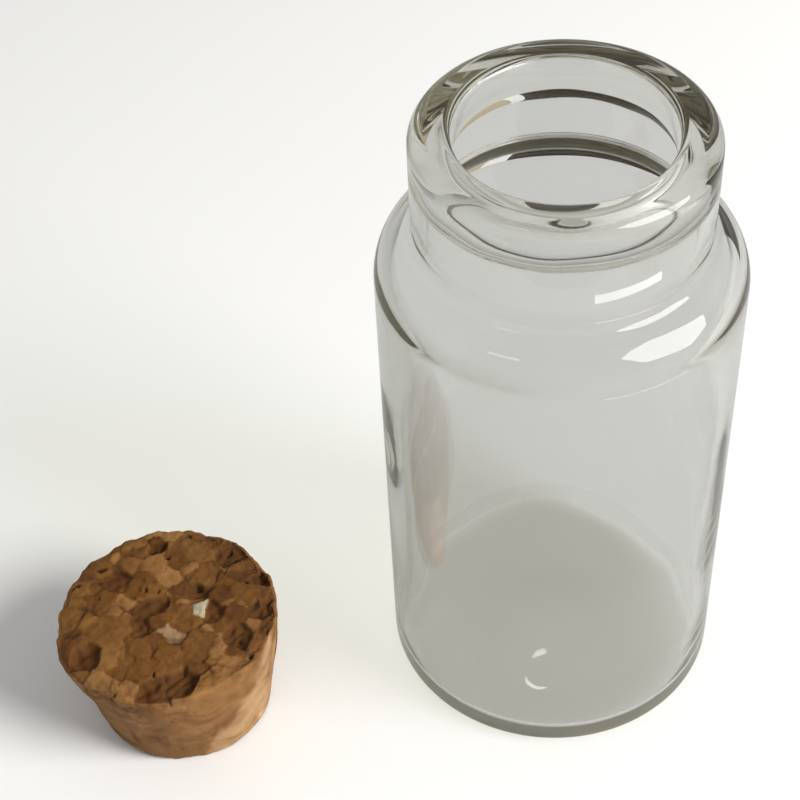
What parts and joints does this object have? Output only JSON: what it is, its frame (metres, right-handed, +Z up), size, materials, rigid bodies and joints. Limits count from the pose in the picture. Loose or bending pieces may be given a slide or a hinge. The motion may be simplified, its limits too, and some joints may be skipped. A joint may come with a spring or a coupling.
{
  "type": "glass jar with cork lid",
  "caption": "Small clear glass jar with a rounded shoulder, a thick lip and a tapered granulated cork stopper that lifts off.",
  "frame": {"origin": "middle of the jar's foot, on the surface it stands on", "axes": "+Z up the jar's axis, out of its mouth; the cork stands at about 197 degrees from +X"},
  "size_m": [0.0597, 0.0359, 0.06],
  "materials": {
    "clear_glass": "clear, faintly grey-green, fire-polished",
    "granulated_cork": "agglomerated cork granules, matte"
  },
  "bodies": {
    "jar": {"glass_jar": "clear_glass"},
    "cork": {"cork_stopper": "granulated_cork"}
  },
  "joints": [
    {"name": "cork_lift", "type": "slide", "parent": "jar", "child": "cork", "axis": [0, 0, 1], "range_m": [0, 0.065]}
  ]
}
